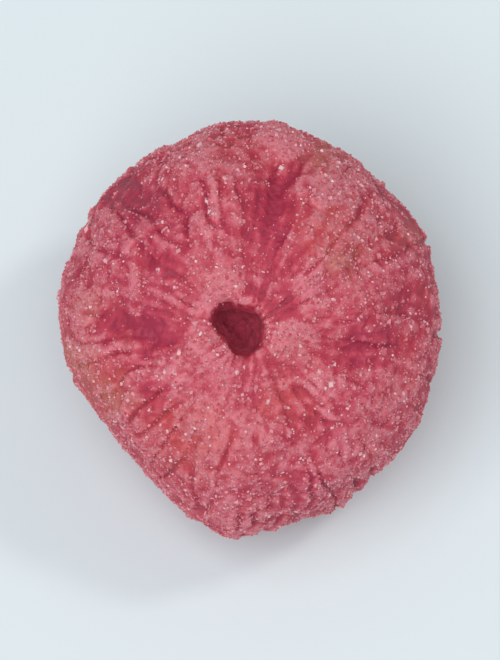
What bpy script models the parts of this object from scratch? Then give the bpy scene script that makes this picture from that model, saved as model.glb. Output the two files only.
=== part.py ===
"""A dried sour cherry, pitted through its stalk end, at its real size.

The fruit is one solid: a plump body whose skin has shrunk into folds around the stalk hole, with
flats where its neighbours pressed on it, resting on the flattest of them. Units are metres and +Z is
up. The stalk end leans towards -Y, and the origin is at the middle of the underside.
"""

import math

import bmesh
import bpy
from mathutils import Matrix, Vector, noise

# The plump body, before it is pressed and folded: its two cross axes, and from the stalk end to the
# blossom end. The stalk axis leans this far from +Z towards -Y.
WIDTH = 0.0184
LENGTH = 0.0203
THICKNESS = 0.0160
LEAN = math.radians(22.0)

# Stalk end: a wide shallow hollow with a narrow three-cornered hole a little to one side
HOLLOW_RADIUS = 0.0034
HOLLOW_DEPTH = 0.0011
HOLE_SHIFT = Vector((-0.0005, 0.0, 0.0))
HOLE_RADIUS = 0.00082
HOLE_DEPTH = 0.0022
HOLE_WALL = 0.00048
HOLE_STRETCH = 0.22
HOLE_STRETCH_TOWARDS = math.radians(-38.0)
HOLE_CORNERS = 0.12
HOLE_CORNER_TOWARDS = math.radians(35.0)

# Underside: how much of the body the resting flat takes off, how softly the skin turns into it, and
# the height at which what is left of that turn is cut off level
BASE_DEPTH = 0.0009
BASE_SOFTNESS = 0.0004
BASE_CUT = 0.0001

# Flats left by neighbouring fruit: azimuth and polar angle in degrees, and depth in metres. Each
# takes most of what stands past it, so that it stays a little domed.
PRESSES = (
    (225, 86, 0.00150),
    (298, 80, 0.00055),
    (44, 70, 0.00020),
    (130, 82, 0.00025),
    (176, 118, 0.00080),
    (350, 122, 0.00070),
    (88, 124, 0.00090),
    (268, 128, 0.00060),
)
PRESS_SOFTNESS = 0.0009
PRESS_SHARE = 0.9

# Folds that run from the stalk end towards the blossom end: azimuth, first and last polar angle and
# bend in degrees, then half width and depth in metres
FOLDS = (
    (74, 13, 52, 12, 0.00120, 0.00080),
    (181, 18, 56, -16, 0.00110, 0.00065),
    (350, 20, 58, 14, 0.00115, 0.00065),
    (130, 34, 80, 20, 0.00095, 0.00045),
    (282, 34, 80, -18, 0.00095, 0.00038),
    (232, 16, 46, 10, 0.00080, 0.00032),
    (312, 14, 42, -12, 0.00075, 0.00034),
    (28, 22, 64, 14, 0.00080, 0.00036),
    (156, 62, 128, -14, 0.00095, 0.00024),
    (212, 98, 144, 12, 0.00090, 0.00040),
    (292, 100, 144, 16, 0.00095, 0.00036),
    (104, 102, 146, -16, 0.00095, 0.00040),
    (66, 92, 140, 10, 0.00085, 0.00040),
    (4, 104, 148, -12, 0.00090, 0.00040),
    (338, 110, 148, 10, 0.00080, 0.00030),
)
FOLD_END = math.radians(14.0)

# The seam that every cherry has down one side, from the stalk end to the blossom end
SEAM_AZIMUTH = math.radians(254.0)
SEAM_HALF_WIDTH = 0.0006
SEAM_DEPTH = 0.00014

# Slow unevenness of the shrunken flesh
UNEVEN_SIZE = 0.0046
UNEVEN_HEIGHT = 0.00042
UNEVEN_DETAIL = 3
UNEVEN_PLACE = Vector((3.1, 7.4, 1.9))

# Mesh: meridians, rings between the two ends, how far the rings gather at the stalk end, and the
# corner past which an edge is shaded sharp
MERIDIANS = 84
RINGS = 46
GATHER = 0.6
SHARP = math.radians(50.0)

STALK_AXIS = Vector((0.0, 0.0, 1.0))

SKIN_COLOUR = (0.48, 0.105, 0.14, 1.0)
SKIN_ROUGHNESS = 0.75


def clear_scene():
    """Removes whatever the scene holds."""
    for obj in list(bpy.data.objects):
        bpy.data.objects.remove(obj, do_unlink=True)


def smoothstep(low, high, value):
    """0 below low, 1 above high, and an even turn between them."""
    share = min(1.0, max(0.0, (value - low) / (high - low)))
    return share * share * (3.0 - 2.0 * share)


def soft_floor(value, softness):
    """The value where it is positive, going softly to 0 where it is negative."""
    return (value + math.hypot(value, softness)) / 2.0


def wrapped(angle):
    """The same angle between -180 and 180 degrees."""
    return (angle + math.pi) % (2.0 * math.pi) - math.pi


def towards(azimuth, polar):
    """Unit vector of an azimuth and of an angle from the stalk axis."""
    flat = math.sin(polar)
    return Vector((flat * math.cos(azimuth), flat * math.sin(azimuth), math.cos(polar)))


def stretched(direction):
    """The point of the plump body in this direction, about its own centre."""
    return Vector((direction.x * WIDTH / 2, direction.y * LENGTH / 2, direction.z * THICKNESS / 2))


def ring_place(direction):
    """Azimuth and polar angle of a point of the plain ball, its rings gathered at the stalk end."""
    polar = direction.angle(STALK_AXIS)
    gathered = GATHER * math.sin(polar) * (1.0 - polar / math.pi)
    return math.atan2(direction.y, direction.x), polar - gathered


def pressed(point, azimuth, polar, depth):
    """The point after a neighbour has flattened the fruit from one side."""
    normal = towards(azimuth, polar)
    reach = stretched(normal).length - depth
    return point - normal * PRESS_SHARE * soft_floor(point.dot(normal) - reach, PRESS_SOFTNESS)


def fold_depth(azimuth, polar, radius):
    """How deep the folds and the seam take the skin in at this place."""
    depth = 0.0
    for middle, first, last, bend, half_width, fold in FOLDS:
        first, last = math.radians(first), math.radians(last)
        along = (polar - first) / (last - first)
        line = math.radians(middle) + math.radians(bend) * (along - 0.5)
        across = wrapped(azimuth - line) * math.sin(polar) * radius
        ends = smoothstep(first - FOLD_END / 2, first + FOLD_END / 2, polar)
        ends *= 1.0 - smoothstep(last - FOLD_END, last + FOLD_END, polar)
        depth += fold * ends * math.exp(-((across / half_width) ** 2))
    across = wrapped(azimuth - SEAM_AZIMUTH) * math.sin(polar) * radius
    return depth + SEAM_DEPTH * math.sin(polar) * math.exp(-((across / SEAM_HALF_WIDTH) ** 2))


def near_stalk(polar):
    """1 on the stalk axis, fading to 0 outside the hollow around it."""
    return math.exp(-((polar * WIDTH / 2 / HOLLOW_RADIUS) ** 2))


def around_hole(azimuth, polar):
    """The polar angle stretched near the hole, so that a ring there follows its uneven edge."""
    stretch = HOLE_STRETCH * math.cos(2.0 * (azimuth - HOLE_STRETCH_TOWARDS))
    corners = HOLE_CORNERS * math.cos(3.0 * (azimuth - HOLE_CORNER_TOWARDS))
    return polar * (1.0 + (stretch + corners) * near_stalk(polar))


def stalk_end_depth(polar):
    """How far the hollow and the hole at the stalk end lie below the plump body."""
    from_axis = polar * WIDTH / 2
    inside = 1.0 - smoothstep(HOLE_RADIUS - HOLE_WALL, HOLE_RADIUS + HOLE_WALL, from_axis)
    return HOLLOW_DEPTH * near_stalk(polar) + HOLE_DEPTH * inside


def skin_point(azimuth, ring_polar):
    """A point of the skin about the fruit's own centre, with the stalk axis along +Z."""
    polar = around_hole(azimuth, ring_polar)
    direction = towards(azimuth, polar)
    point = stretched(direction)
    for press_azimuth, press_polar, depth in PRESSES:
        point = pressed(point, math.radians(press_azimuth), math.radians(press_polar), depth)
    place = point / UNEVEN_SIZE + UNEVEN_PLACE
    uneven = UNEVEN_HEIGHT * noise.fractal(place, 1.0, 2.0, UNEVEN_DETAIL)
    point += direction * (uneven - fold_depth(azimuth, polar, point.length))
    point += HOLE_SHIFT * near_stalk(polar)
    point.z -= stalk_end_depth(ring_polar)
    return point


def settled(point):
    """The point of the leaning fruit once its underside has gone flat."""
    lowest = math.hypot(LENGTH / 2 * math.sin(LEAN), THICKNESS / 2 * math.cos(LEAN))
    return Vector((point.x, point.y, soft_floor(point.z + lowest - BASE_DEPTH, BASE_SOFTNESS)))


def flat_underside(skin):
    """Cuts the skin off level where it has gone flat, and closes it with one flat face."""
    cut = bmesh.ops.bisect_plane(
        skin,
        geom=skin.verts[:] + skin.edges[:] + skin.faces[:],
        dist=1e-7,
        plane_co=(0.0, 0.0, BASE_CUT),
        plane_no=(0.0, 0.0, -1.0),
        clear_outer=True,
    )
    rim = [item for item in cut["geom_cut"] if isinstance(item, bmesh.types.BMEdge)]
    bmesh.ops.edgeloop_fill(skin, edges=rim)


def stand_on_origin(skin):
    """Moves the fruit so that its box stands on the origin."""
    xs = [vertex.co.x for vertex in skin.verts]
    ys = [vertex.co.y for vertex in skin.verts]
    lowest = min(vertex.co.z for vertex in skin.verts)
    middle = Vector(((min(xs) + max(xs)) / 2, (min(ys) + max(ys)) / 2, lowest))
    bmesh.ops.translate(skin, vec=-middle, verts=skin.verts)


def dried_flesh_material():
    """Leathery, sugar-dusted skin of one dull rose red."""
    material = bpy.data.materials.new("sugared_cherry_skin")
    material.use_nodes = True
    shader = material.node_tree.nodes["Principled BSDF"]
    shader.inputs["Base Color"].default_value = SKIN_COLOUR
    shader.inputs["Roughness"].default_value = SKIN_ROUGHNESS
    shader.inputs["Metallic"].default_value = 0.0
    return material


def make_cherry(collection):
    """The whole fruit as one closed mesh."""
    skin = bmesh.new()
    bmesh.ops.create_uvsphere(skin, u_segments=MERIDIANS, v_segments=RINGS, radius=1.0)
    lean = Matrix.Rotation(LEAN, 3, "X")
    for vertex in skin.verts:
        azimuth, polar = ring_place(vertex.co)
        vertex.co = settled(lean @ skin_point(azimuth, polar))
    flat_underside(skin)
    stand_on_origin(skin)
    bmesh.ops.recalc_face_normals(skin, faces=skin.faces[:])
    mesh = bpy.data.meshes.new("dried_cherry")
    skin.to_mesh(mesh)
    skin.free()
    mesh.shade_smooth()
    mesh.set_sharp_from_angle(angle=SHARP)
    mesh.materials.append(dried_flesh_material())
    cherry = bpy.data.objects.new("dried_cherry", mesh)
    collection.objects.link(cherry)


def main():
    clear_scene()
    collection = bpy.data.collections.new("dried_sour_cherry")
    bpy.context.scene.collection.children.link(collection)
    make_cherry(collection)


main()
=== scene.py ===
# %% [markdown]
# This lesson dresses one dried, pitted and sugared sour cherry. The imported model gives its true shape
# and size as a fixed frame, in metres with +Z up, and everything below is built around it: the
# wrinkled skin, the sugar that has dried on it, their materials, and a plain studio to look at it in.

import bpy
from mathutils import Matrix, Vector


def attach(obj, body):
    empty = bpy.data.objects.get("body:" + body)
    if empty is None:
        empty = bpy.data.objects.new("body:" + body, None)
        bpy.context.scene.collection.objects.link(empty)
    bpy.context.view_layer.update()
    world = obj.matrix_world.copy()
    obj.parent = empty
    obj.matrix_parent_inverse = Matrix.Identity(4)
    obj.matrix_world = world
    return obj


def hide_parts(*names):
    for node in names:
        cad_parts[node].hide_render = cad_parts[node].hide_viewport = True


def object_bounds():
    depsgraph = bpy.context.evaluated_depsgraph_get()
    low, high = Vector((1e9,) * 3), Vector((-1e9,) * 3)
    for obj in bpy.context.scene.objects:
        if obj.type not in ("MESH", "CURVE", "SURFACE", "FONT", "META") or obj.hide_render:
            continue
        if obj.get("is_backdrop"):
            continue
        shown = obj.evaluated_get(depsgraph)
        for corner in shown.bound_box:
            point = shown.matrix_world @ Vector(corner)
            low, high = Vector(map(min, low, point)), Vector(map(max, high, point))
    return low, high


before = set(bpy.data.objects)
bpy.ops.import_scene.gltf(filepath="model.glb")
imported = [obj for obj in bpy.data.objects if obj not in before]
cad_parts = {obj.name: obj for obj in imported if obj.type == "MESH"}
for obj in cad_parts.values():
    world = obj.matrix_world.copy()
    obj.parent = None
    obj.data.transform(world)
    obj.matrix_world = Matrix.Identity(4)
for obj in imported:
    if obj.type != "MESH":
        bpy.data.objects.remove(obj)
cad_box = [list(corner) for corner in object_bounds()]

import math
import random
from itertools import product

import bmesh
import bpy
from mathutils import Matrix, Vector

print("frame:", sorted(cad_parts), "box", cad_box)

# %% [markdown]
# A cherry is under 20 mm across, and its sugar grains are a few tenths of a millimetre. Sizes like
# these are easiest to read in millimetres, so the meshes are worked on in millimetres and brought back
# to metres when they are finished. The fruit's own middle, the lean of its stalk end and its radius at
# the girth are needed often, because folds run down from the stalk as meridians run down from a pole.

# %% Sizes that every step shares
MM = 0.001
FRUIT_MIDDLE = Vector((-0.06, 0.29, 7.34))
STALK_LEAN = math.radians(22.0)
GIRTH_RADIUS = 9.2
print("the fruit's middle, in mm:", [round(value, 2) for value in FRUIT_MIDDLE])

# %% [markdown]
# Geometry and material trees are both built in the same way: add a node, plug values or earlier nodes
# into it, and set what it does. Colours are written as the hex values that a colour picker shows,
# which are sRGB, and one function turns them to the linear values that shaders work in.


# %% Helpers for nodes and colours
def add(tree, kind, inputs=(), **settings):
    """Adds a node with its settings, then its inputs by number or name: values, sockets or nodes."""
    node = tree.nodes.new(kind)
    for name, value in settings.items():
        setattr(node, name, value)
    for name, value in inputs.items() if isinstance(inputs, dict) else enumerate(inputs):
        if isinstance(value, bpy.types.Node):
            value = next(output for output in value.outputs if output.enabled)
        if isinstance(value, bpy.types.NodeSocket):
            tree.links.new(value, node.inputs[name])
        else:
            node.inputs[name].default_value = value
    return node


def linear(hex_colour):
    """Linear RGBA of an sRGB hex colour."""
    shares = [int(hex_colour[start : start + 2], 16) / 255 for start in (1, 3, 5)]
    return [s / 12.92 if s <= 0.04045 else ((s + 0.055) / 1.055) ** 2.4 for s in shares] + [1.0]


print("dusty rose is", [round(value, 3) for value in linear("#C46673")])

# %% [markdown]
# The photograph looks down at the fruit at about 68 degrees from level, so that the stalk end, which
# leans 22 degrees, faces the lens. A lens close by would bulge the fruit, so this one stands about
# 57 cm away, where a hand-held camera would, and is long enough to fill the frame.

# %% Camera
VIEW_ELEVATION = math.radians(68.0)
VIEW_DISTANCE = 0.57
FIELD_HEIGHT = 0.031
SENSOR = 36.0
CLIP_START = 0.01

view_target = Vector((0.0, 0.0, cad_box[1][2] / 2))
view_direction = Vector((0.0, -math.cos(VIEW_ELEVATION), math.sin(VIEW_ELEVATION)))
camera_data = bpy.data.cameras.new("studio_camera")
camera_data.sensor_width = SENSOR
camera_data.lens = SENSOR * VIEW_DISTANCE / FIELD_HEIGHT
camera_data.clip_start = CLIP_START
camera = bpy.data.objects.new("studio_camera", camera_data)
camera.location = view_target + view_direction * VIEW_DISTANCE
camera.rotation_euler = (-view_direction).to_track_quat("-Z", "Y").to_euler()
bpy.context.scene.collection.objects.link(camera)
bpy.context.scene.camera = camera
print("lens:", round(camera_data.lens), "mm")

# %% [markdown]
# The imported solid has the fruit's body, folds and hole in about 7,000 triangles, too few for wrinkles
# of half a millimetre. Subdividing would keep its long thin triangles. A voxel remesh gives even faces
# all over instead, and a little smoothing takes away the old facets. The remesh needs a closed mesh,
# so a copy of the solid is merged first.

# %% Fine mesh of the fruit
MERGE_GAP = 0.001 * MM
SKIN_VOXEL = 0.125
SMOOTHING = 0.5
SMOOTHING_STEPS = 10


def plain_mesh(source, name):
    """A new mesh from an object as its modifiers leave it."""
    found = source.evaluated_get(bpy.context.evaluated_depsgraph_get())
    mesh = bpy.data.meshes.new_from_object(found)
    mesh.name = name
    return mesh


merged = bmesh.new()
merged.from_mesh(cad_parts["dried_cherry"].data)
bmesh.ops.remove_doubles(merged, verts=merged.verts, dist=MERGE_GAP)
bmesh.ops.scale(merged, vec=(1 / MM, 1 / MM, 1 / MM), verts=merged.verts)
body_mesh = bpy.data.meshes.new("fruit_body")
merged.to_mesh(body_mesh)
merged.free()
body = bpy.data.objects.new("fruit_body", body_mesh)
bpy.context.scene.collection.objects.link(body)

remesh = body.modifiers.new("even_faces", "REMESH")
remesh.mode = "VOXEL"
remesh.voxel_size = SKIN_VOXEL
smooth = body.modifiers.new("no_facets", "SMOOTH")
smooth.factor = SMOOTHING
smooth.iterations = SMOOTHING_STEPS
body.data = plain_mesh(body, "fruit_body")
body.modifiers.clear()
print("fine mesh:", len(body.data.polygons), "faces")

# %% [markdown]
# When the flesh dries it shrinks under a skin that doesn't, so the skin folds. Long folds gather at
# the stalk end like cloth at a button, fine pleats and a net of creases lie between them, and sugar
# syrup that has dried on the skin leaves a low crust. Sculpting all this would take long and could
# not be changed afterwards, so Geometry Nodes make it. Each kind of wrinkle is a pattern that moves
# the skin along its normal, with its sizes as named inputs in millimetres. Spacings are those at the
# girth.

# %% A tree with the wrinkles' sizes as inputs
WRINKLES = {
    "Fold Spacing": 2.0,
    "Fold Length": 9.2,
    "Fold Depth": 0.15,
    "Pleat Spacing": 0.836,
    "Pleat Length": 3.54,
    "Pleat Depth": 0.08,
    "Streak Spacing": 1.15,
    "Net Size": 1.15,
    "Net Depth": 0.06,
    "Crust Size": 0.36,
    "Crust Height": 0.05,
    "Pebble Size": 0.46,
    "Pebble Height": 0.09,
    "Torn Size": 0.9,
    "Torn Height": 0.9,
    "Seed": 11.0,
}


def geometry_tree(name, sizes, others=()):
    """A new tree with a Geometry input, a number input for each size, and others by socket type."""
    tree = bpy.data.node_groups.new(name, "GeometryNodeTree")
    tree.interface.new_socket("Geometry", in_out="INPUT", socket_type="NodeSocketGeometry")
    for size in sizes:
        tree.interface.new_socket(size, in_out="INPUT", socket_type="NodeSocketFloat")
    for other, kind in others:
        tree.interface.new_socket(other, in_out="INPUT", socket_type=kind)
    tree.interface.new_socket("Geometry", in_out="OUTPUT", socket_type="NodeSocketGeometry")
    return tree, add(tree, "NodeGroupInput").outputs


tree, given = geometry_tree("wrinkled_skin", WRINKLES)
place = add(tree, "GeometryNodeInputPosition")
normal = add(tree, "GeometryNodeInputNormal")
seed = add(tree, "ShaderNodeCombineXYZ", [given["Seed"]] * 3)
shifted = add(tree, "ShaderNodeVectorMath", [place, seed], operation="ADD")
print("wrinkle sizes:", WRINKLES)

# %% [markdown]
# Folds run down from the stalk, so their patterns need to know how far round and how far down a point
# is, as on a globe. A UV map could hold both, but it would have a seam. Instead, the position is taken
# from the fruit's middle and turned upright, so that the stalk axis is +Z. Its flat part, made one
# long, is the azimuth without a jump at 180 degrees. Its angle from +Z, the polar angle, is how far
# down the point is. The sides begin where the camera no longer sees the skin face on.

# %% Azimuth and polar angle
SIDE_ANGLES = (0.9, 1.5)

from_middle = add(tree, "ShaderNodeVectorMath", [place, FRUIT_MIDDLE], operation="SUBTRACT")
upright = add(
    tree,
    "ShaderNodeVectorRotate",
    {"Vector": from_middle, "Angle": -STALK_LEAN},
    rotation_type="X_AXIS",
)
reach = add(tree, "ShaderNodeVectorMath", [upright], operation="LENGTH")
across, up, height = add(tree, "ShaderNodeSeparateXYZ", [upright]).outputs
flat = add(tree, "ShaderNodeCombineXYZ", [across, up])
azimuth = add(tree, "ShaderNodeVectorMath", [flat], operation="NORMALIZE")
from_axis = add(tree, "ShaderNodeVectorMath", [flat], operation="LENGTH")
height_share = add(tree, "ShaderNodeMath", [height, reach], operation="DIVIDE")
polar = add(tree, "ShaderNodeMath", [height_share], operation="ARCCOSINE")
side = add(tree, "ShaderNodeMapRange", [polar, *SIDE_ANGLES])
print("the sides begin", [round(math.degrees(angle)) for angle in SIDE_ANGLES], "degrees from the stalk")

# %% [markdown]
# Noise that reads the azimuth at a large scale and the polar angle at a small one has long thin
# blobs that run down from the stalk. Three uses follow: the long folds, fine pleats between them, and
# streaks of sugar. A regular wave would do for a pumpkin, but no two folds of a cherry are alike. A
# second, slow noise bends them all, so that no line is straight.

# %% Noise along the meridians
WARP_SIZE = 4.5
WARP = 1.9
FOLD_WARP_SHARE = 0.55
NOISE_MIDDLE = 0.5

warp = add(tree, "ShaderNodeTexNoise", {"Vector": shifted, "Scale": 1 / WARP_SIZE}).outputs["Color"]
warp = add(tree, "ShaderNodeVectorMath", [warp, (NOISE_MIDDLE,) * 3], operation="SUBTRACT")
warp = add(tree, "ShaderNodeVectorMath", {0: warp, "Scale": WARP}, operation="SCALE")


def meridian_noise(spacing, length, detail=1.0, warp_share=1.0):
    """Noise in long blobs down the meridians, this long, and this far apart at the girth."""
    count = add(tree, "ShaderNodeMath", [GIRTH_RADIUS, spacing], operation="DIVIDE")
    around = add(tree, "ShaderNodeVectorMath", {0: azimuth, "Scale": count}, operation="SCALE")
    down = add(tree, "ShaderNodeMath", [polar, GIRTH_RADIUS], operation="MULTIPLY")
    down = add(tree, "ShaderNodeMath", [down, length], operation="DIVIDE")
    down = add(tree, "ShaderNodeCombineXYZ", [0.0, 0.0, down])
    spot = add(tree, "ShaderNodeVectorMath", [around, down], operation="ADD")
    spot = add(tree, "ShaderNodeVectorMath", [warp, (warp_share,) * 3, spot], operation="MULTIPLY_ADD")
    spot = add(tree, "ShaderNodeVectorMath", [spot, seed], operation="ADD")
    return add(tree, "ShaderNodeTexNoise", {"Vector": spot, "Scale": 1.0, "Detail": detail})


blobs = meridian_noise(given["Fold Spacing"], given["Fold Length"], warp_share=FOLD_WARP_SHARE)
pleats = meridian_noise(given["Pleat Spacing"], given["Pleat Length"])
streaks = meridian_noise(given["Streak Spacing"], given["Fold Length"], detail=2.0)
print("blobs round the girth:", round(math.tau * GIRTH_RADIUS / WRINKLES["Fold Spacing"]))

# %% [markdown]
# The line where the long blobs pass their middle value is a fold line, and the skin dips towards it. A
# slow noise lets the lines fade in and out, because a fold starts and ends somewhere. They are deeper
# on the sides, where no hollow takes up the slack.

# %% Long folds
FOLD_HALF_WIDTH = 0.075
FADE_SIZE = 3.4
FADE_LIMITS = (0.38, 0.62)
FAINTEST_FOLD = 0.15
DEEPER_ON_SIDES = 0.6

off_line = add(tree, "ShaderNodeMath", [blobs, NOISE_MIDDLE], operation="SUBTRACT")
off_line = add(tree, "ShaderNodeMath", [off_line], operation="ABSOLUTE")
fold = add(
    tree,
    "ShaderNodeMapRange",
    [off_line, 0.0, FOLD_HALF_WIDTH, 1.0, 0.0],
    interpolation_type="SMOOTHERSTEP",
)
fade = add(tree, "ShaderNodeTexNoise", {"Vector": shifted, "Scale": 1 / FADE_SIZE, "Detail": 1.0})
fade = add(
    tree,
    "ShaderNodeMapRange",
    [fade, *FADE_LIMITS, FAINTEST_FOLD, 1.0],
    interpolation_type="SMOOTHSTEP",
)
side_share = add(tree, "ShaderNodeMath", [side, DEEPER_ON_SIDES, 1.0], operation="MULTIPLY_ADD")
fold = add(tree, "ShaderNodeMath", [fold, fade], operation="MULTIPLY")
fold = add(tree, "ShaderNodeMath", [fold, side_share], operation="MULTIPLY")
print("folds:", WRINKLES["Fold Depth"], "mm deep on top")

# %% [markdown]
# Pleats like those of gathered cloth lie between the folds. They come straight from their noise, so
# they are soft waves and not lines. They begin a little way out from the hole, because its rim is torn
# and holds no pleats.

# %% Fine pleats
PLEATS_BEGIN = (1.6, 3.6)

pleat = add(tree, "ShaderNodeMath", [NOISE_MIDDLE, pleats], operation="SUBTRACT")
off_hole = add(tree, "ShaderNodeMapRange", [from_axis, *PLEATS_BEGIN])
pleat = add(tree, "ShaderNodeMath", [pleat, off_hole], operation="MULTIPLY")
print("pleats begin", PLEATS_BEGIN, "mm from the stalk axis")

# %% [markdown]
# Between the folds the skin creases in every direction. A Voronoi pattern's cell edges make such a
# net. Its cells are bent by noise first, because skin creases in uneven curves and not in straight
# cell walls.

# %% Net of creases
BEND_SIZE = 0.9
NET_BEND = 1.1
CREASE_WIDTH = 0.2

bend = add(tree, "ShaderNodeTexNoise", {"Vector": shifted, "Scale": 1 / BEND_SIZE, "Detail": 1.0})
bend = add(tree, "ShaderNodeVectorMath", [bend.outputs["Color"], (NOISE_MIDDLE,) * 3], operation="SUBTRACT")
bend = add(tree, "ShaderNodeVectorMath", {0: bend, "Scale": NET_BEND}, operation="SCALE")
bent = add(tree, "ShaderNodeVectorMath", [shifted, bend], operation="ADD")
net_scale = add(tree, "ShaderNodeMath", [1.0, given["Net Size"]], operation="DIVIDE")
net = add(tree, "ShaderNodeTexVoronoi", {"Vector": bent, "Scale": net_scale}, feature="DISTANCE_TO_EDGE")
net = add(tree, "ShaderNodeMapRange", [net, 0.0, CREASE_WIDTH, 1.0, 0.0], interpolation_type="SMOOTHSTEP")
print("creases: about", WRINKLES["Net Size"], "mm apart")

# %% [markdown]
# Looking down the stalk axis, some patches are bare and sunk a little, and others stand proud and hold
# more sugar. Noise could put patches anywhere, but these are listed to match one fruit, as
# (right, up, radius, amount) in millimetres from the axis. A positive amount is sugar. They add up to
# one soft map on the stalk side, and the noise that bends the net bends their edges too.

# %% Patches of bare skin and of sugar
PATCHES = (
    (1.4, 6.1, 2.1, -0.75),
    (0.2, 4.6, 2.0, -0.70),
    (2.8, 4.0, 1.2, -0.45),
    (-0.9, 6.6, 1.1, -0.40),
    (-5.2, 5.4, 1.5, -0.70),
    (-6.0, 7.0, 1.7, -0.80),
    (-4.0, 3.2, 1.7, -1.15),
    (-4.4, 0.0, 1.9, -0.95),
    (-6.3, 0.2, 1.3, -0.50),
    (5.4, -0.2, 1.7, -0.60),
    (4.5, -1.5, 1.2, -0.50),
    (7.6, 1.3, 1.6, -0.70),
    (7.7, 4.5, 1.5, -0.60),
    # The next two patches, at the hole's upper rim, are partly real bare skin and partly painted shade of
    # the hollow around the hole.
    (1.6, 1.2, 1.2, -1.20),
    (0.1, 1.6, 0.9, -0.85),
    (2.0, 2.9, 1.1, -0.75),
    (2.3, -4.2, 1.2, -0.55),
    (-4.3, -3.8, 1.5, -0.65),
    (3.1, -7.2, 1.4, -0.40),
    (-1.1, 2.3, 1.1, 0.80),
    (-2.2, 1.4, 1.0, 0.45),
    (2.3, -0.7, 1.3, 0.90),
    (3.3, -2.1, 1.2, 0.60),
    (1.7, -2.6, 1.1, 0.60),
    (3.0, 1.7, 1.1, 0.50),
    (-2.4, -4.5, 1.6, 0.80),
    (-2.0, -2.8, 1.5, 0.45),
    (-3.7, -2.2, 1.2, 0.50),
    (0.2, -4.6, 1.3, 0.70),
    (-1.8, -6.1, 1.3, 0.55),
    (1.9, -5.9, 1.2, 0.75),
    (5.1, -5.1, 1.7, 0.75),
    (7.2, -3.4, 1.7, 0.55),
    (3.8, 6.4, 1.7, 1.80),
    (5.0, 7.6, 1.6, 1.00),
    (5.7, 4.3, 1.5, 1.20),
    (5.5, 2.9, 1.0, 0.55),
    (1.5, 9.0, 1.7, 1.20),
    (-2.2, 8.3, 1.6, 1.00),
    (-2.4, 5.1, 1.2, 0.55),
    (-7.8, 4.0, 1.4, 0.30),
    (-7.5, 1.3, 1.3, 0.60),
    (-7.9, -0.7, 1.7, 0.60),
    (-5.2, 2.2, 1.0, 0.35),
)
EDGE_BEND = (2.0, 2.0, 0.0)

bent_flat = add(tree, "ShaderNodeVectorMath", [bend, EDGE_BEND, flat], operation="MULTIPLY_ADD")


def patch_map(patches):
    """The sum of soft round patches, seen down the stalk axis."""
    total = 0.0
    for right, up, radius, amount in patches:
        off_patch = add(tree, "ShaderNodeVectorMath", [bent_flat, (right, up, 0.0)], operation="DISTANCE")
        patch = add(
            tree,
            "ShaderNodeMapRange",
            [off_patch, 0.0, radius, amount, 0.0],
            interpolation_type="SMOOTHSTEP",
        )
        total = add(tree, "ShaderNodeMath", [patch, total], operation="ADD")
    stalk_half = add(tree, "ShaderNodeMath", [height, 0.0], operation="GREATER_THAN")
    return add(tree, "ShaderNodeMath", [total, stalk_half], operation="MULTIPLY")


patches = patch_map(PATCHES)
print("patches:", len(PATCHES))

# %% [markdown]
# Where a cherry lay against its neighbour as it ripened, its skin stays tan, and its red is nowhere
# quite the same. Two more listed maps hold this for the material: how tan the skin is, and how
# far its red leans to orange, or with a negative amount to purple.

# %% Tan spots and warmth
TANS = (
    (4.3, 3.0, 1.3, 0.6),
    (3.4, 8.0, 1.5, 0.5),
    # This spot at the upper right rim is painted shade that dulls the edge, not a tan of the skin.
    (7.6, 4.5, 1.2, 0.3),
    (-7.7, 1.0, 1.3, 0.3),
    (-8.2, -1.6, 1.8, 0.6),
    (-6.4, -3.4, 1.6, 0.5),
)
WARMTHS = (
    (-2.6, -5.2, 3.4, 0.9),
    (-7.2, -2.0, 2.4, 0.9),
    (4.2, 4.4, 2.8, 0.9),
    (-1.2, 7.6, 2.6, 0.5),
    (1.4, -4.0, 2.4, 0.5),
    (-4.6, 0.8, 2.6, -1.0),
    (-5.6, 5.2, 2.6, -0.8),
    (1.2, 4.9, 1.9, -0.6),
    (5.4, -0.8, 2.2, -0.6),
    # This last cool place, at the lower edge, is the purple of a neighbouring fruit's shade, which is
    # painted shade.
    (2.8, -7.4, 2.4, -0.6),
)

tans = patch_map(TANS)
warmths = patch_map(WARMTHS)
print("tan spots:", len(TANS), "warm and cool places:", len(WARMTHS))

# %% [markdown]
# The sides and the underside have the same kind of patches, but nothing says where, so here a slow
# noise does put them.

# %% Patches on the sides
DRIFT_SIZE = 2.2
SIDE_PATCHES = 3.2

drift = add(tree, "ShaderNodeTexNoise", {"Vector": shifted, "Scale": 1 / DRIFT_SIZE})
drift = add(tree, "ShaderNodeMath", [drift, NOISE_MIDDLE], operation="SUBTRACT")
side_patches = add(tree, "ShaderNodeMath", [drift, side], operation="MULTIPLY")
patches = add(tree, "ShaderNodeMath", [side_patches, SIDE_PATCHES, patches], operation="MULTIPLY_ADD")
print("side patches: about", DRIFT_SIZE, "mm wide")

# %% [markdown]
# Folds, creases and pleats move the skin in along its normal, and the patches move it in or out. Real
# geometry costs faces, but bump would leave the outline smooth and give the sugar nothing to lie in.

# %% Creased skin
PATCH_HEIGHT = 0.10


def weighted_sum(tree, total, shares):
    """The total plus each value times its share."""
    for value, share in shares:
        total = add(tree, "ShaderNodeMath", [value, share, total], operation="MULTIPLY_ADD")
    return total


dips = ((fold, given["Fold Depth"]), (net, given["Net Depth"]), (pleat, given["Pleat Depth"]))
raised = add(tree, "ShaderNodeMath", [patches, PATCH_HEIGHT], operation="MULTIPLY")
raised = add(tree, "ShaderNodeMath", [raised, weighted_sum(tree, 0.0, dips)], operation="SUBTRACT")
offset = add(tree, "ShaderNodeVectorMath", {0: normal, "Scale": raised}, operation="SCALE")
creased = add(tree, "GeometryNodeSetPosition", {"Geometry": given["Geometry"], "Offset": offset})
print("tree so far:", len(tree.nodes), "nodes")
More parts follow.
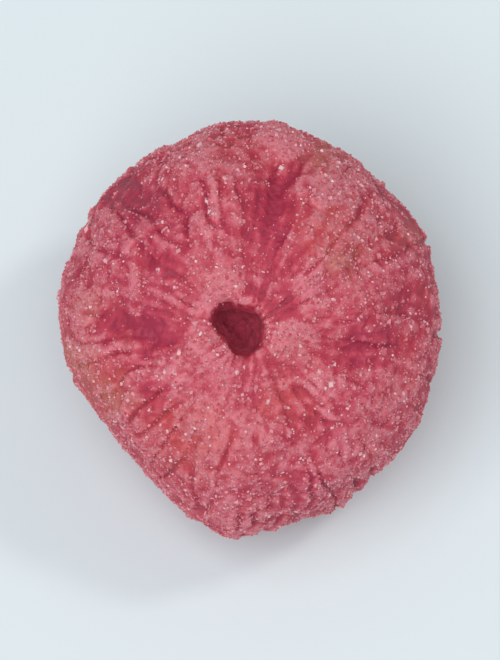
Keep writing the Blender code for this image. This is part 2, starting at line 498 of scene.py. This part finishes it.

# %% [markdown]
# Sugar clings to ridges and stays out of hollows, so the tree measures both. A blurred copy of the
# positions lies above the skin in a hollow and below it on a ridge, and its distance along the normal
# tells which. A long blur finds the wide folds of the fruit, and a short one finds the creases. Each
# has its number of steps, the depth that counts as 1, and how far the blur lies under an evenly
# curved skin, which is added back. Materials can't measure this in every renderer, so it is stored.
# Through the sugar cover and the skin's colour, these measures also make hollows and creases darker,
# which is painted shade.

# %% Hollows
HOLLOWS = {"hollow_wide": (230, 0.30, 0.10), "hollow_fine": (12, 0.035, 0.006)}

hollows = []
for name, (steps, full_depth, even_depth) in HOLLOWS.items():
    blurred = add(
        tree,
        "GeometryNodeBlurAttribute",
        {"Value": place, "Iterations": steps},
        data_type="FLOAT_VECTOR",
    )
    above = add(tree, "ShaderNodeVectorMath", [blurred, place], operation="SUBTRACT")
    depth = add(tree, "ShaderNodeVectorMath", [above, normal], operation="DOT_PRODUCT")
    depth = add(tree, "ShaderNodeMath", [depth, even_depth], operation="ADD")
    depth = add(tree, "ShaderNodeMath", [depth, full_depth], operation="DIVIDE")
    creased = add(tree, "GeometryNodeStoreNamedAttribute", [creased, True, name, depth])
    hollows.append(add(tree, "GeometryNodeInputNamedAttribute", [name], data_type="FLOAT"))
hollow_wide, hollow_fine = hollows
print("stored:", list(HOLLOWS))

# %% [markdown]
# The pitting tool leaves a hole with raw flesh inside, which needs its own look and takes no sugar.
# Looking down the stalk axis, the skin around the hole stands at about 7 mm above the fruit's middle
# and the floor of the hole at 4.9 mm. So height tells how deep in the hole a point is, and a distance
# from the hole keeps the rest of the fruit out of it.

# %% Inside the stalk hole
HOLE_MIDDLE = (-0.4, 0.0, 0.0)
HOLE_REACH = (1.5, 2.0)
HOLE_HEIGHTS = (5.9, 7.0)

from_hole = add(tree, "ShaderNodeVectorMath", [flat, HOLE_MIDDLE], operation="DISTANCE")
away = add(tree, "ShaderNodeMapRange", [from_hole, *HOLE_REACH])
above_wall = add(tree, "ShaderNodeMapRange", [height, *HOLE_HEIGHTS], interpolation_type="SMOOTHSTEP")
outside = add(tree, "ShaderNodeMath", [away, above_wall], operation="MAXIMUM")
outside = add(tree, "ShaderNodeMath", [outside, side], operation="MAXIMUM")
print("outside the hole from", HOLE_REACH[1], "mm away, or from", HOLE_HEIGHTS[1], "mm up")

# %% [markdown]
# Sugar clings to ridges and to the raised ring around the hole, lies in streaks down the fruit, in
# patches and in slow drifts, falls off steep hollows, and never gets into the hole. A fine mottle
# breaks it all up. Painting weights by hand could not follow every crease, so these causes are added
# up, each with its share. The result is about 1 where sugar lies thick and 0 or less on bare skin.
# The skin's colour follows the cover, so its lower cover in hollows and pleat dips is also painted shade.

# %% Sugar cover
RING_RADIUS = 2.3
RING_WIDTH = 1.5
MOTTLE_SIZE = 0.55
PLAIN_COVER = 0.55

streak = add(tree, "ShaderNodeMath", [streaks, NOISE_MIDDLE], operation="SUBTRACT")
mottle = add(tree, "ShaderNodeTexNoise", {"Vector": shifted, "Scale": 1 / MOTTLE_SIZE, "Detail": 1.0})
mottle = add(tree, "ShaderNodeMath", [mottle, NOISE_MIDDLE], operation="SUBTRACT")
off_ring = add(tree, "ShaderNodeMath", [from_hole, RING_RADIUS], operation="SUBTRACT")
off_ring = add(tree, "ShaderNodeMath", [off_ring], operation="ABSOLUTE")
ring = add(
    tree,
    "ShaderNodeMapRange",
    [off_ring, 0.0, RING_WIDTH, 1.0, 0.0],
    interpolation_type="SMOOTHSTEP",
)
COVER_SHARES = (
    # The hollow shares and the pleat share thin the sugar in hollows and pleat dips, and through the skin's
    # colour they also make these places darker, which is painted shade.
    (hollow_wide, -0.22),
    (hollow_fine, -0.14),
    (drift, 0.5),
    (streak, 0.65),
    (pleat, -0.5),
    (mottle, 1.2),
    (ring, 0.18),
    (patches, 0.8),
)
cover = weighted_sum(tree, PLAIN_COVER, COVER_SHARES)
cover = add(tree, "ShaderNodeMath", [cover, outside], operation="MULTIPLY")
stores = {"sugar_cover": cover, "outside_hole": outside, "tan": tans, "warmth": warmths, "pleat": pleat}
for name, value in stores.items():
    creased = add(tree, "GeometryNodeStoreNamedAttribute", [creased, True, name, value])
print("stored:", list(stores))

# %% [markdown]
# Dried skin has the low pebbles of leather, which are the rounded cells of a smooth Voronoi pattern.
# On a cherry they are about a tenth of a millimetre wide, too fine to show, so they are drawn at
# nearly half a millimetre. Syrup dries on them as an uneven crust of a few hundredths of a millimetre.

# %% Pebbles and crust
PEBBLE_MIDDLE = 0.36
CRUST_ROUGHNESS = 0.6

crust_scale = add(tree, "ShaderNodeMath", [1.0, given["Crust Size"]], operation="DIVIDE")
crust = {"Vector": shifted, "Scale": crust_scale, "Roughness": CRUST_ROUGHNESS}
crust = add(tree, "ShaderNodeTexNoise", crust)
crust = add(tree, "ShaderNodeMath", [crust, NOISE_MIDDLE], operation="SUBTRACT")
pebble_scale = add(tree, "ShaderNodeMath", [1.0, given["Pebble Size"]], operation="DIVIDE")
pebble = add(tree, "ShaderNodeTexVoronoi", {"Vector": shifted, "Scale": pebble_scale}, feature="SMOOTH_F1")
pebble = add(tree, "ShaderNodeMath", [PEBBLE_MIDDLE, pebble], operation="SUBTRACT")
bumps = ((crust, given["Crust Height"]), (pebble, given["Pebble Height"]))
skin_lift = weighted_sum(tree, 0.0, bumps)
creased = add(tree, "GeometryNodeStoreNamedAttribute", [creased, True, "pebble", pebble])
print("pebbles:", WRINKLES["Pebble Size"], "mm wide")

# %% [markdown]
# The pitting tool tears the flesh, so coarser and higher noise roughens the hole. The underside stays
# flat, because the fruit rests on it: no point goes below the table, and sideways there is no limit.

# %% Torn flesh
NO_LIMIT = -1000.0
LOWEST_PLACE = (NO_LIMIT, NO_LIMIT, 0.0)

torn_scale = add(tree, "ShaderNodeMath", [1.0, given["Torn Size"]], operation="DIVIDE")
torn = add(tree, "ShaderNodeTexNoise", {"Vector": shifted, "Scale": torn_scale, "Detail": 3.0})
torn = add(tree, "ShaderNodeMath", [torn, NOISE_MIDDLE], operation="SUBTRACT")
torn_lift = add(tree, "ShaderNodeMath", [torn, given["Torn Height"]], operation="MULTIPLY")
is_skin = add(tree, "GeometryNodeInputNamedAttribute", ["outside_hole"], data_type="FLOAT")
lift = add(tree, "ShaderNodeMix", {0: is_skin, 2: torn_lift, 3: skin_lift})
offset = add(tree, "ShaderNodeVectorMath", {0: normal, "Scale": lift}, operation="SCALE")
moved = add(tree, "ShaderNodeVectorMath", [place, offset], operation="ADD")
moved = add(tree, "ShaderNodeVectorMath", [moved, LOWEST_PLACE], operation="MAXIMUM")
shaped = add(tree, "GeometryNodeSetPosition", {"Geometry": creased, "Position": moved})
print("torn flesh: up to about", WRINKLES["Torn Height"] / 2, "mm in or out")

# %% [markdown]
# Where the skin turns down into the hole, its edge is as narrow as the mesh's own faces, which would
# show as a row of teeth. Wet flesh rounds as it dries. A short blur of the positions near the rim
# does the same, where more smoothing of the whole fruit would wash out its creases.

# %% Soft rim
RIM_BLUR_STEPS = 3
RIM_REACH = (1.8, 2.4)
RIM_HEIGHTS = (6.0, 6.6)

near_hole = add(tree, "ShaderNodeMapRange", [from_hole, *RIM_REACH, 1.0, 0.0])
above_floor = add(tree, "ShaderNodeMapRange", [height, *RIM_HEIGHTS])
near_rim = add(tree, "ShaderNodeMath", [near_hole, above_floor], operation="MULTIPLY")
softened = add(
    tree,
    "GeometryNodeBlurAttribute",
    {"Value": place, "Iterations": RIM_BLUR_STEPS, "Weight": near_rim},
    data_type="FLOAT_VECTOR",
)
shaped = add(tree, "GeometryNodeSetPosition", {"Geometry": shaped, "Position": softened})
print("whole tree:", len(tree.nodes), "nodes")

# %% [markdown]
# The finished tree goes on the fine mesh with its sizes, each set by its socket's identifier, and the
# result becomes a plain mesh. The modifier could stay, but a plain mesh is what every program reads.


# %% Run the wrinkle tree
def finish_tree(tree, geometry, material):
    """Ends a tree as the export needs it: real faces, with their material."""
    real = add(tree, "GeometryNodeRealizeInstances", [geometry])
    dressed = add(tree, "GeometryNodeSetMaterial", {"Geometry": real, "Material": material})
    add(tree, "NodeGroupOutput", [dressed])


def run_tree(target, tree, settings):
    """Puts the tree on the object with these settings, and returns the result as a plain mesh."""
    modifier = target.modifiers.new(tree.name, "NODES")
    modifier.node_group = tree
    for item in tree.interface.items_tree:
        if item.in_out == "INPUT" and item.name in settings:
            modifier[item.identifier] = settings[item.name]
    mesh = plain_mesh(target, tree.name)
    target.modifiers.remove(modifier)
    return mesh


skin_material = bpy.data.materials.new("sugared_sour_cherry_skin")
finish_tree(tree, shaped, skin_material)
body.data = run_tree(body, tree, WRINKLES)
for name in (*HOLLOWS, "sugar_cover"):
    values = sorted(item.value for item in body.data.attributes[name].data)
    tenths = [values[(len(values) - 1) * tenth // 10] for tenth in range(11)]
    print(name, "low to high:", [round(value, 2) for value in tenths])

# %% [markdown]
# Fine sugar is sucrose, which grows as small slanted blocks with cut corners. A cube would look like
# salt. The shapes are made as the hull of a slanted block's corners, some of them cut. A convex hull
# keeps each to a couple of dozen triangles, which matters because thousands of them are laid on the
# skin. The first two are plain blocks, for the finest sugar.

# %% Crystal shapes
CUT_CHANCES = (0.0, 0.0, 0.3, 0.3, 0.4)
CRYSTAL_WIDTHS = (0.62, 0.95)
CRYSTAL_THICKNESSES = (0.5, 0.8)
MOST_SLANT = 0.44
CUT_DEPTHS = (0.25, 0.5)
CRYSTAL_SEED = 23


def crystal_mesh(name, chance, cut_chance):
    """One sugar crystal, one unit long but for its slant: the hull of a block with some corners cut."""
    shape = bmesh.new()
    width = chance.uniform(*CRYSTAL_WIDTHS)
    thickness = chance.uniform(*CRYSTAL_THICKNESSES)
    slant = chance.uniform(-MOST_SLANT, MOST_SLANT)
    for x, y, z in product((-0.5, 0.5), repeat=3):
        corner = Vector((x + z * slant, y * width, z * thickness))
        if chance.random() >= cut_chance:
            shape.verts.new(corner)
            continue
        kept = 1.0 - chance.uniform(*CUT_DEPTHS)
        for axis in range(3):
            cut_corner = corner.copy()
            cut_corner[axis] *= kept
            shape.verts.new(cut_corner)
    hull = bmesh.ops.convex_hull(shape, input=shape.verts)
    loose = [item for item in hull["geom_interior"] if isinstance(item, bmesh.types.BMVert)]
    bmesh.ops.delete(shape, geom=loose, context="VERTS")
    bmesh.ops.recalc_face_normals(shape, faces=shape.faces)
    mesh = bpy.data.meshes.new(name)
    shape.to_mesh(mesh)
    shape.free()
    return mesh


chance = random.Random(CRYSTAL_SEED)
crystal_shapes = bpy.data.collections.new("crystal_shapes")
for number, cut_chance in enumerate(CUT_CHANCES):
    name = f"crystal_{number}"
    crystal_shapes.objects.link(bpy.data.objects.new(name, crystal_mesh(name, chance, cut_chance)))

# %% [markdown]
# Sugar sticks where the syrup is, and damp grains stick to each other in clumps. A particle system
# could lay them, but points spread by Geometry Nodes keep a set gap, so that no crystal stands inside
# another. The points are thinned where the cover is low, and noise gathers them in clumps. One tree
# serves every size of sugar: only its named inputs differ.

# %% Scatter tree
SCATTER_SIZES = (
    "Gap",
    "Most Per Area",
    "Smallest",
    "Largest",
    "Raised",
    "Bare Below",
    "Full Above",
    "Clump Size",
    "Clumping",
)
SCATTER_OTHERS = (
    ("Last Shape", "NodeSocketInt"),
    ("Seed", "NodeSocketInt"),
    ("Shapes", "NodeSocketCollection"),
    ("Sugar", "NodeSocketMaterial"),
)
RIM_SHARPNESS = 4.0

tree, given = geometry_tree("sugar_on_skin", SCATTER_SIZES, SCATTER_OTHERS)
cover, outside = (
    add(tree, "GeometryNodeInputNamedAttribute", [name], data_type="FLOAT")
    for name in ("sugar_cover", "outside_hole")
)
place = add(tree, "GeometryNodeInputPosition")
clump_scale = add(tree, "ShaderNodeMath", [1.0, given["Clump Size"]], operation="DIVIDE")
clump = add(tree, "ShaderNodeTexNoise", {"Vector": place, "Scale": clump_scale, "Detail": 1.0})
clump = add(tree, "ShaderNodeMath", [clump, NOISE_MIDDLE], operation="SUBTRACT")
thick = weighted_sum(tree, cover, ((clump, given["Clumping"]),))
thick = add(tree, "ShaderNodeMapRange", [thick, given["Bare Below"], given["Full Above"]])
off_rim = add(tree, "ShaderNodeMath", [outside, RIM_SHARPNESS], operation="POWER")
thick = add(tree, "ShaderNodeMath", [thick, off_rim], operation="MULTIPLY")
above_table = add(tree, "ShaderNodeSeparateXYZ", [place]).outputs["Z"]
clear = add(tree, "ShaderNodeMath", [above_table, given["Largest"]], operation="GREATER_THAN")
spread = add(
    tree,
    "GeometryNodeDistributePointsOnFaces",
    {
        "Mesh": given["Geometry"],
        "Selection": clear,
        "Distance Min": given["Gap"],
        "Density Max": given["Most Per Area"],
        "Density Factor": thick,
        "Seed": given["Seed"],
    },
    distribute_method="POISSON",
)
print("scatter inputs:", SCATTER_SIZES)

# %% [markdown]
# Every crystal has its own random turn, size, shape and stain, and is sunk a little into the skin as
# if stuck in syrup. Most are small, because the random number is raised to a power before it picks the
# size. The stain is how much juice the crystal has soaked up, for the material to read.

# %% Crystals on the points
SMALLER_FAVOURED = 1.8

turn = {1: (math.tau,) * 3, "Seed": given["Seed"]}
turn = add(tree, "FunctionNodeRandomValue", turn, data_type="FLOAT_VECTOR")
turn = add(tree, "FunctionNodeEulerToRotation", [turn])
size = add(tree, "FunctionNodeRandomValue", {"Seed": given["Seed"]}, data_type="FLOAT")
size = add(tree, "ShaderNodeMath", [size, SMALLER_FAVOURED], operation="POWER")
size = add(tree, "ShaderNodeMapRange", {0: size, 3: given["Smallest"], 4: given["Largest"]})
which = {4: 0, 5: given["Last Shape"], "Seed": given["Seed"]}
which = add(tree, "FunctionNodeRandomValue", which, data_type="INT")
stain_seed = add(tree, "ShaderNodeMath", [given["Seed"], 1.0], operation="ADD")
stain = add(tree, "FunctionNodeRandomValue", {"Seed": stain_seed}, data_type="FLOAT")
raised = add(tree, "ShaderNodeMath", [size, given["Raised"]], operation="MULTIPLY")
raised = add(tree, "ShaderNodeVectorMath", {0: spread.outputs["Normal"], "Scale": raised}, operation="SCALE")
points = add(tree, "GeometryNodeSetPosition", {"Geometry": spread, "Offset": raised})
shapes = {0: given["Shapes"], "Separate Children": True, "Reset Children": True}
shapes = add(tree, "GeometryNodeCollectionInfo", shapes)
crystals = add(
    tree,
    "GeometryNodeInstanceOnPoints",
    {
        "Points": points,
        "Instance": shapes,
        "Pick Instance": True,
        "Instance Index": which,
        "Rotation": turn,
        "Scale": size,
    },
)
crystals = add(tree, "GeometryNodeStoreNamedAttribute", [crystals, True, "stain", stain], domain="INSTANCE")
finish_tree(tree, crystals, given["Sugar"])
print("scatter tree:", len(tree.nodes), "nodes")

# %% [markdown]
# Fine sugar is a few tenths of a millimetre across, and its smaller grains and the dust that breaks
# off them are finer. The dust lies much closer together and reaches into places where the larger
# crystals have rolled off. Real dust goes on down to a hundredth of a millimetre. Here it stops at a
# twentieth, the least that shows, and the skin's own material paints what is finer. No sugar lies
# where the cover is under Bare Below, and as much as the gap allows lies where it is over Full Above.
# Raised is how far a crystal's middle stands off the skin, as a share of its size.

# %% Lay the sugar on
sugar_material = bpy.data.materials.new("sugar_crystals_in_cherry_juice")
SUGAR = {
    "sugar_crystals": {
        "Gap": 0.22,
        "Most Per Area": 4.5,
        "Smallest": 0.14,
        "Largest": 0.26,
        "Raised": -0.15,
        "Bare Below": 0.3,
        "Full Above": 1.1,
        "Clump Size": 0.9,
        "Clumping": 1.2,
        "Last Shape": 4,
        "Seed": 5,
    },
    "sugar_grains": {
        "Gap": 0.12,
        "Most Per Area": 22.0,
        "Smallest": 0.085,
        "Largest": 0.16,
        "Raised": -0.05,
        "Bare Below": 0.1,
        "Full Above": 1.0,
        "Clump Size": 0.6,
        "Clumping": 1.2,
        "Last Shape": 3,
        "Seed": 6,
    },
    "sugar_dust": {
        "Gap": 0.08,
        "Most Per Area": 40.0,
        "Smallest": 0.05,
        "Largest": 0.10,
        "Raised": 0.05,
        "Bare Below": -0.35,
        "Full Above": 1.4,
        "Clump Size": 0.4,
        "Clumping": 1.0,
        "Last Shape": 1,
        "Seed": 7,
    },
}

pieces = {}
for name, sizes in SUGAR.items():
    settings = dict(sizes, Shapes=crystal_shapes, Sugar=sugar_material)
    pieces[name] = bpy.data.objects.new(name, run_tree(body, tree, settings))
    print(f"{name}: {len(pieces[name].data.polygons)} triangles")

# %% [markdown]
# The material is sugared sour cherry skin, steeped in syrup and dried to soft leather. Bare, it is
# bright crimson. Syrup and sugar too fine to model have dried on it as a pale bloom, so the colour
# runs from crimson in bare hollows to dusty rose on sugared ridges. A photograph could be laid on the
# skin, but it would only fit from one side, so the colour follows the cover, creases, pleats and
# pebbles that the wrinkle tree stored. The creases, the dips of the pleats and the grooves between
# pebbles are made darker, which is painted shade. A noise as wide as a drop of dried syrup makes it uneven.

# %% Colour of the skin
BLOOM_SIZE = 0.8
BARE, COATED = -0.6, 1.1
SKIN_COLOURS = ((0.0, "#9E2240"), (0.35, "#B02E49"), (0.55, "#BA3A50"), (0.75, "#C75567"), (1.0, "#D87886"))


def set_stops(ramp, stops):
    """Gives a colour ramp its positions and colours."""
    for position, _ in stops[1:-1]:
        ramp.color_ramp.elements.new(position)
    for element, (position, colour) in zip(ramp.color_ramp.elements, stops):
        element.position = position
        element.color = linear(colour)


skin_material.use_nodes = True
paint = skin_material.node_tree
shader = paint.nodes["Principled BSDF"]
where = add(paint, "ShaderNodeTexCoord").outputs["Object"]
cover, outside, crease, pleat, pebble, warmth, tan = (
    add(paint, "ShaderNodeAttribute", attribute_name=name).outputs["Fac"]
    for name in ("sugar_cover", "outside_hole", "hollow_fine", "pleat", "pebble", "warmth", "tan")
)
bloom = add(paint, "ShaderNodeTexNoise", {"Vector": where, "Scale": 1 / (BLOOM_SIZE * MM), "Detail": 3.0})
bloom = add(paint, "ShaderNodeMath", [bloom, NOISE_MIDDLE], operation="SUBTRACT")
# These shares make the skin darker in creases, in the dips of the pleats and between pebbles, which is
# painted shade.
GROOVE_SHADE_SHARES = ((crease, -0.15), (pleat, -0.5), (pebble, 0.5))
coating_and_shade = add(paint, "ShaderNodeMath", [bloom, cover], operation="ADD")
coating_and_shade = weighted_sum(paint, coating_and_shade, GROOVE_SHADE_SHARES)
coating_and_shade = add(paint, "ShaderNodeMapRange", [coating_and_shade, BARE, COATED])
skin = add(paint, "ShaderNodeValToRGB", [coating_and_shade])
set_stops(skin, SKIN_COLOURS)
print("from bare to coated:", [colour for _, colour in SKIN_COLOURS])

# %% [markdown]
# Over that ramp lie five thinner layers. Specks are grains of powdered sugar, really a few hundredths
# of a millimetre wide and drawn at 0.17 mm, so that they show. Warmth and coolness drift over a few
# millimetres, as the juice did. Tan spots follow their map, and the raw flesh in the hole is darker.

# %% Layers over the skin's colour
SPECK_SIZE = 0.17
SPECK_ROUGHNESS = 0.7
SPECK_LIMITS = (0.52, 0.68)
SPECK_SHARE = 0.5
HUE_SIZE = 2.0
HUE_CONTRAST = 2.0
WARM_SHARE, COOL_SHARE, TAN_SHARE = 0.35, 0.22, 0.7
WARM, COOL, TAN, SPECK, TORN_FLESH = "#C9573E", "#AA2E58", "#B98A66", "#D6959B", "#9A2F45"

specks = {"Vector": where, "Scale": 1 / (SPECK_SIZE * MM), "Roughness": SPECK_ROUGHNESS}
specks = add(paint, "ShaderNodeTexNoise", specks)
speck = add(paint, "ShaderNodeMapRange", [specks, *SPECK_LIMITS, 0.0, SPECK_SHARE])
speck = add(paint, "ShaderNodeMath", [speck, cover], operation="MULTIPLY")
hue = add(paint, "ShaderNodeTexNoise", {"Vector": where, "Scale": 1 / (HUE_SIZE * MM), "Detail": 2.0})
hue = add(paint, "ShaderNodeMath", [hue, NOISE_MIDDLE], operation="SUBTRACT")
hue = weighted_sum(paint, warmth, ((hue, HUE_CONTRAST),))
warm = add(paint, "ShaderNodeMapRange", [hue, 0.0, 1.0, 0.0, WARM_SHARE])
cool = add(paint, "ShaderNodeMapRange", [hue, 0.0, -1.0, 0.0, COOL_SHARE])
tan = add(paint, "ShaderNodeMath", [tan, TAN_SHARE], operation="MULTIPLY")
torn = add(paint, "ShaderNodeMath", [1.0, outside], operation="SUBTRACT")
for share, colour in ((warm, WARM), (cool, COOL), (speck, SPECK), (tan, TAN), (torn, TORN_FLESH)):
    skin = add(paint, "ShaderNodeMix", {0: share, 6: skin, 7: linear(colour)}, data_type="RGBA")
paint.links.new(skin.outputs[2], shader.inputs["Base Color"])
print("colour nodes:", len(paint.nodes))

# %% [markdown]
# Dried skin is leathery: satin where it is bare, matt where sugar covers it, and dry without any sheen
# in the torn hole. Between the pebbles it has a grain of a few hundredths of a millimetre. This is
# drawn at a quarter of a millimetre so that it shows, and as bump, because the mesh is no finer. Light
# passes a little way into the flesh and comes out redder, which subsurface scattering gives. The index
# of refraction is that of sugar syrup.

# %% Surface of the skin
SATIN, MATT = 0.55, 0.85
LEATHER_SIZE = 0.24
GRAIN_HEIGHT = 0.08
GRAIN_STRENGTH = 0.9
SKIN_SURFACE = {
    "IOR": 1.46,
    "Subsurface Weight": 0.35,
    "Subsurface Radius": (1.0, 0.22, 0.18),
    "Subsurface Scale": 0.9 * MM,
}


def set_inputs(node, values):
    """Sets a node's inputs by name."""
    for name, value in values.items():
        node.inputs[name].default_value = value


rough = add(paint, "ShaderNodeMapRange", [coating_and_shade, 0.0, 1.0, SATIN, MATT])
rough = add(paint, "ShaderNodeMath", [rough, torn], operation="MAXIMUM")
leather = {"Vector": where, "Scale": 1 / (LEATHER_SIZE * MM)}
leather = add(paint, "ShaderNodeTexVoronoi", leather, feature="SMOOTH_F1")
GRAIN_SHARES = ((leather, -1.0), (specks, 0.6))
grain = weighted_sum(paint, 0.0, GRAIN_SHARES)
grain = {"Strength": GRAIN_STRENGTH, "Distance": GRAIN_HEIGHT * MM, "Height": grain}
grain = add(paint, "ShaderNodeBump", grain)
paint.links.new(rough.outputs[0], shader.inputs["Roughness"])
paint.links.new(grain.outputs[0], shader.inputs["Normal"])
set_inputs(shader, SKIN_SURFACE)
print("skin material:", len(paint.nodes), "nodes")

# %% [markdown]
# The material is sugar crystals in cherry juice. A grown crystal of sucrose is clear with flat,
# smooth sides, but a heap of small ones scatters light and looks white, and these have drawn up red
# juice. Clear glass would need many bounces of light for the same look, so the crystals are given
# their colour and a soft glow from under the surface. Each one's stain picks a colour from pale pink
# to deep rose. The sides are only a little rough, which makes them sparkle, and the index of
# refraction is that of sucrose.

# %% Sugar material
JUICE_COLOURS = ((0.0, "#F0C6CB"), (0.1, "#DE909A"), (1.0, "#C44658"))
SUGAR_SURFACE = {
    "Roughness": 0.28,
    "IOR": 1.54,
    "Subsurface Weight": 0.5,
    "Subsurface Radius": (1.0, 0.5, 0.5),
    "Subsurface Scale": 0.12 * MM,
}

sugar_material.use_nodes = True
paint = sugar_material.node_tree
shader = paint.nodes["Principled BSDF"]
stain = add(paint, "ShaderNodeAttribute", attribute_name="stain").outputs["Fac"]
juice = add(paint, "ShaderNodeValToRGB", [stain])
set_stops(juice, JUICE_COLOURS)
paint.links.new(juice.outputs["Color"], shader.inputs["Base Color"])
set_inputs(shader, SUGAR_SURFACE)
print("sugar material:", len(paint.nodes), "nodes")

# %% [markdown]
# The meshes go back to metres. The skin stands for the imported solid, which is hidden, and the sugar
# rides with it. Each size of sugar stays a piece of its own, so that one can be left off.

# %% Finish the pieces
pieces["sugared_skin"] = bpy.data.objects.new("sugared_skin", body.data)
bpy.data.objects.remove(body)
for name, piece in pieces.items():
    piece.data.name = name
    piece.data.transform(Matrix.Scale(MM, 4))
    bpy.context.scene.collection.objects.link(piece)
    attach(piece, "root")
pieces["sugared_skin"].data.shade_smooth()
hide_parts("dried_cherry")
triangles = {
    name: sum(len(face.vertices) - 2 for face in piece.data.polygons) for name, piece in pieces.items()
}
print("triangles:", triangles)

# %% [markdown]
# The fruit lies on a wide table of pale matt laminate. Its pressed surface is rough enough to show no
# reflection, only the fruit's soft shadow. It is only the stage, so it takes no pattern.

# %% Table
TABLE_SIDE = 3.0
TABLE_SURFACE = {"Base Color": linear("#DAE6EB"), "Roughness": 0.85}

table = bpy.data.objects.new("table", bpy.data.meshes.new("table"))
top = bmesh.new()
bmesh.ops.create_grid(top, x_segments=1, y_segments=1, size=TABLE_SIDE / 2)
top.to_mesh(table.data)
top.free()
laminate = bpy.data.materials.new("matt_pale_laminate")
laminate.use_nodes = True
set_inputs(laminate.node_tree.nodes["Principled BSDF"], TABLE_SURFACE)
table.data.materials.append(laminate)
bpy.context.scene.collection.objects.link(table)
table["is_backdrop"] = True
print("table:", TABLE_SIDE, "m square")

# %% [markdown]
# A large soft light above gives the even look of daylight through a window, a smaller one lets the
# crystals sparkle, and the pale world fills the shade. A sun lamp would give the fruit hard shadows
# that it doesn't have. Each light has its place, side, power and colour.

# %% Lights
LIGHTS = {
    "window": ((-0.20, -0.32, 0.74), 0.75, 5.6, "#FFFFFF"),
    "lamp": ((0.36, 0.10, 0.60), 0.10, 0.75, "#FFF8F2"),
}
WORLD_LIGHT = {"Color": linear("#E8ECEE"), "Strength": 0.42}

for name, (spot, light_side, power, colour) in LIGHTS.items():
    light = bpy.data.lights.new(name, "AREA")
    light.size = light_side
    light.energy = power
    light.color = linear(colour)[:3]
    holder = bpy.data.objects.new(name, light)
    holder.location = spot
    holder.rotation_euler = (view_target - Vector(spot)).to_track_quat("-Z", "Y").to_euler()
    bpy.context.scene.collection.objects.link(holder)

world = bpy.data.worlds.new("pale_room")
world.use_nodes = True
set_inputs(world.node_tree.nodes["Background"], WORLD_LIGHT)
bpy.context.scene.world = world
bpy.context.scene.view_settings.view_transform = "Standard"
print("lights:", list(LIGHTS))

# %% [markdown]
# The visual model is meant to keep the imported model's size, so both boxes are printed side by side.

# %% Sizes and finish
for model, (low, high) in {"packed model": cad_box, "visual model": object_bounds()}.items():
    print(model, "in mm:", [round((end - start) / MM, 2) for start, end in zip(low, high)])
